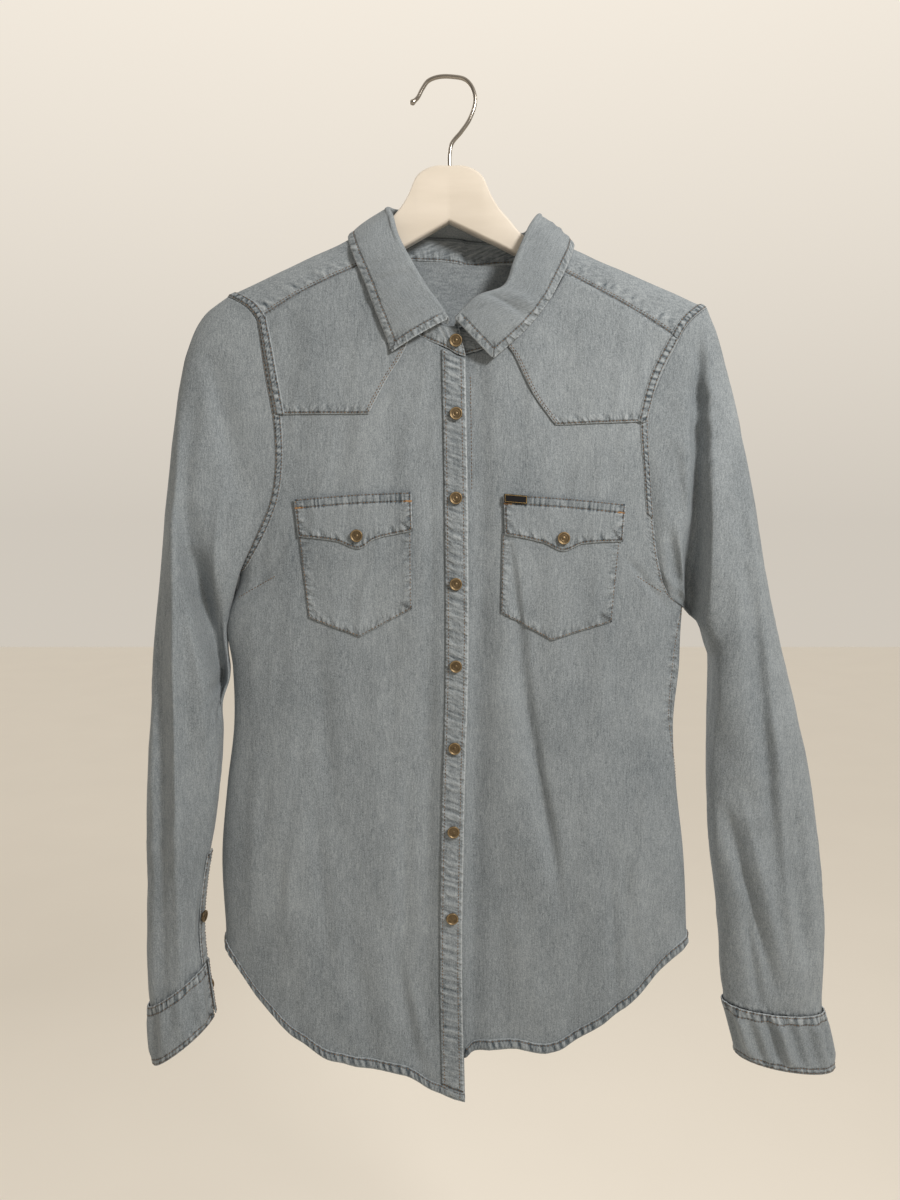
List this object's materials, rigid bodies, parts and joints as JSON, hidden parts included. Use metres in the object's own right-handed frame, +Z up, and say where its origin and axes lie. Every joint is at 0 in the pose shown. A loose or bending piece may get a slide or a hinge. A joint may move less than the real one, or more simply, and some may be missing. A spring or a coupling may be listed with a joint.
{
  "type": "denim shirt on a hanger",
  "caption": "Long-sleeved western denim shirt with pointed yokes, flapped chest pockets and metal buttons, buttoned up on a painted wooden hanger with a wire hook.",
  "frame": {"origin": "on the underside of the hook's bend, where it bears on a rail", "axes": "+X to the wearer's left, +Y out of the shirt's back, +Z up; the buttoned front faces -Y"},
  "size_m": [0.6139, 0.0747, 0.8737],
  "materials": {
    "denim": "light blue washed denim",
    "label": "black woven tab",
    "button": "antiqued",
    "painted_wood": "painted off-white",
    "hook": "polished"
  },
  "bodies": {
    "root": {"back": "denim", "front_right": "denim", "front_left": "denim", "yoke": "denim", "front_yoke_right": "denim", "front_yoke_left": "denim", "placket": "denim", "pocket_right": "denim", "pocket_left": "denim", "flap_right": "denim", "flap_left": "denim", "label": "label", "collar_band": "denim", "collar_leaf": "denim", "sleeve_right": "denim", "sleeve_left": "denim", "gauntlet_right": "denim", "gauntlet_left": "denim", "cuff_right": "denim", "cuff_left": "denim", "button_front_1": "button", "button_front_2": "button", "button_front_3": "button", "button_front_4": "button", "button_front_5": "button", "button_front_6": "button", "button_front_7": "button", "button_front_8": "button", "button_pocket_right": "button", "button_pocket_left": "button", "button_sleeve_right": "button", "button_sleeve_left": "button", "button_cuff_right": "button", "button_cuff_left": "button", "hanger_body": "painted_wood", "hanger_hook": "hook"}
  },
  "joints": []
}
